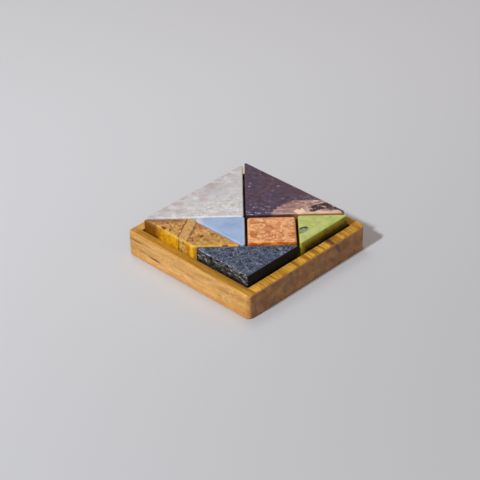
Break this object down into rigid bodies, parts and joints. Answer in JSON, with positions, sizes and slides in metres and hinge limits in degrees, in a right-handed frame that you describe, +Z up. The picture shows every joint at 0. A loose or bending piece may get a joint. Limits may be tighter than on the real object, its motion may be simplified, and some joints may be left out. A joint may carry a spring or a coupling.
{
  "type": "tangram puzzle",
  "caption": "Tangram of thick polished stone tiles, triangles, a square and a parallelogram, laid as a square in a recess milled in a block of wood; every tile lifts out.",
  "frame": {"origin": "centre of the tray's underside, on the surface that it stands on", "axes": "+Z up; X and Y along the tray's sides, with the wood's grain along X. The slate triangle's right angle points to +X -Y, and the white triangle's long side faces -X"},
  "size_m": [0.114, 0.114, 0.0286],
  "materials": {
    "oiled_wood": "oiled, satin",
    "white_stone": "polished",
    "plum_stone": "polished",
    "slate_stone": "polished top, rough sides",
    "blue_stone": "polished",
    "green_stone": "polished",
    "peach_stone": "polished",
    "brown_stone": "polished"
  },
  "bodies": {
    "tray": {"tray": "oiled_wood"},
    "white_triangle": {"large_triangle_white": "white_stone"},
    "plum_triangle": {"large_triangle_plum": "plum_stone"},
    "slate_triangle": {"medium_triangle_slate": "slate_stone"},
    "blue_triangle": {"small_triangle_blue": "blue_stone"},
    "green_triangle": {"small_triangle_green": "green_stone"},
    "peach_square": {"square_peach": "peach_stone"},
    "brown_parallelogram": {"parallelogram_brown": "brown_stone"}
  },
  "joints": [
    {"name": "white_triangle_lift", "type": "slide", "parent": "tray", "child": "white_triangle", "axis": [0, 0, 1], "range_m": [0, 0.03]},
    {"name": "plum_triangle_lift", "type": "slide", "parent": "tray", "child": "plum_triangle", "axis": [0, 0, 1], "range_m": [0, 0.03]},
    {"name": "slate_triangle_lift", "type": "slide", "parent": "tray", "child": "slate_triangle", "axis": [0, 0, 1], "range_m": [0, 0.03]},
    {"name": "blue_triangle_lift", "type": "slide", "parent": "tray", "child": "blue_triangle", "axis": [0, 0, 1], "range_m": [0, 0.03]},
    {"name": "green_triangle_lift", "type": "slide", "parent": "tray", "child": "green_triangle", "axis": [0, 0, 1], "range_m": [0, 0.03]},
    {"name": "peach_square_lift", "type": "slide", "parent": "tray", "child": "peach_square", "axis": [0, 0, 1], "range_m": [0, 0.03]},
    {"name": "brown_parallelogram_lift", "type": "slide", "parent": "tray", "child": "brown_parallelogram", "axis": [0, 0, 1], "range_m": [0, 0.03]}
  ]
}
